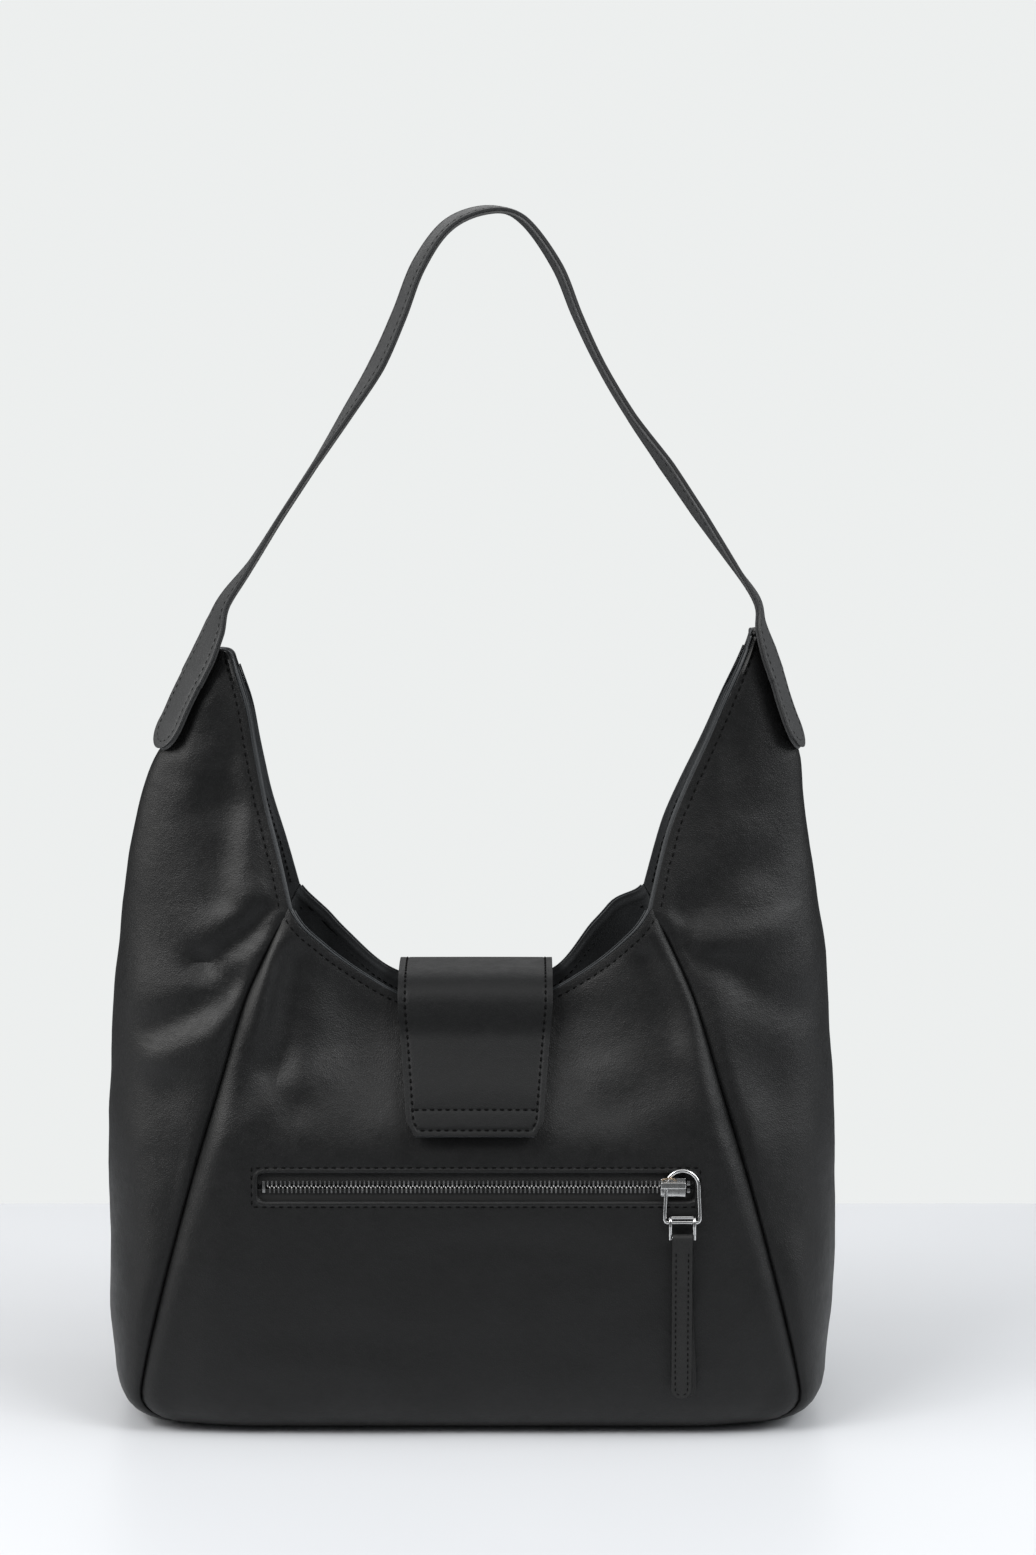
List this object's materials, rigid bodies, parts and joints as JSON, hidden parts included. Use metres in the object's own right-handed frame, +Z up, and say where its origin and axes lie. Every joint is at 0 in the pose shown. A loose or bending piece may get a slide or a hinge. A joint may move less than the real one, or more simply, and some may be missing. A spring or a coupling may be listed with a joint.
{
  "type": "hobo bag",
  "caption": "Soft leather shoulder bag with two horns, one fixed strap, a snap flap over the open top and a zipped front pocket.",
  "frame": {"origin": "under the middle of the base, on the surface that the bag stands on", "axes": "+X to the right seen from the front, +Y from the front to the back, +Z up; the zip and the flap's free end are on the -Y side"},
  "size_m": [0.3746, 0.1365, 0.6144],
  "materials": {
    "smooth_leather": "smooth black nappa with a fine grain and a soft sheen",
    "facing_leather": "matt black leather facing",
    "grained_leather": "pebbled black leather",
    "tab_leather": "matt black leather with cut edges",
    "lining_cloth": "black twill",
    "zip_tape": "black herringbone tape",
    "tooth_metal": "dark nickel",
    "nickel": "polished nickel",
    "snap_metal": "satin gunmetal",
    "fibre_board": "pressed fibre stiffener"
  },
  "bodies": {
    "bag": {"front_panel": "smooth_leather", "back_panel": "smooth_leather", "left_gusset": "smooth_leather", "right_gusset": "smooth_leather", "base_panel": "smooth_leather", "base_board": "fibre_board", "front_facing": "facing_leather", "back_facing": "facing_leather", "left_horn_facing": "facing_leather", "right_horn_facing": "facing_leather", "lining": "lining_cloth", "left_horn_patch": "fibre_board", "right_horn_patch": "fibre_board", "left_strap_tongue": "grained_leather", "right_strap_tongue": "grained_leather", "flap_root": "smooth_leather", "snap_socket": "snap_metal", "socket_washer": "snap_metal", "zip_tape_upper": "zip_tape", "zip_tape_lower": "zip_tape", "zip_teeth_upper": "tooth_metal", "zip_teeth_lower": "tooth_metal", "zip_stops": "tooth_metal", "pocket_bag": "lining_cloth"},
    "strap": {"strap_outer": "grained_leather", "strap_filler": "fibre_board", "strap_lining": "grained_leather"},
    "flap": {"flap_outer": "smooth_leather", "flap_stiffener": "fibre_board", "flap_lining": "facing_leather", "snap_stud": "snap_metal", "stud_washer": "snap_metal"},
    "slider": {"zip_slider": "nickel"},
    "ring": {"pull_ring": "nickel"},
    "frame": {"pull_frame": "nickel", "pull_pin": "nickel"},
    "tab": {"tab_front": "tab_leather", "tab_back": "tab_leather"}
  },
  "joints": [
    {"name": "strap_turn", "type": "hinge", "parent": "bag", "child": "strap", "pos_m": [0.011, 0, 0.418], "axis": [1, 0, 0], "range_deg": [-90, 90]},
    {"name": "flap_lift", "type": "hinge", "parent": "bag", "child": "flap", "pos_m": [0.0025, 0.028, 0.219], "axis": [-1, 0, 0], "range_deg": [0, 135]},
    {"name": "slider_run", "type": "slide", "parent": "bag", "child": "slider", "axis": [1, 0, 0], "range_m": [-0.195, 0], "deforming": ["zip_teeth_upper", "zip_teeth_lower"]},
    {"name": "ring_swing", "type": "hinge", "parent": "slider", "child": "ring", "pos_m": [0.106, -0.06335, 0.13165], "axis": [0, 0.9949, -0.1005], "range_deg": [-15, 15]},
    {"name": "frame_lift", "type": "hinge", "parent": "ring", "child": "frame", "pos_m": [0.106, -0.06491, 0.11623], "axis": [-1, 0, 0], "range_deg": [0, 110]},
    {"name": "tab_lift", "type": "hinge", "parent": "frame", "child": "tab", "pos_m": [0.106, -0.06787, 0.10668], "axis": [-1, 0, 0], "range_deg": [0, 60]}
  ]
}
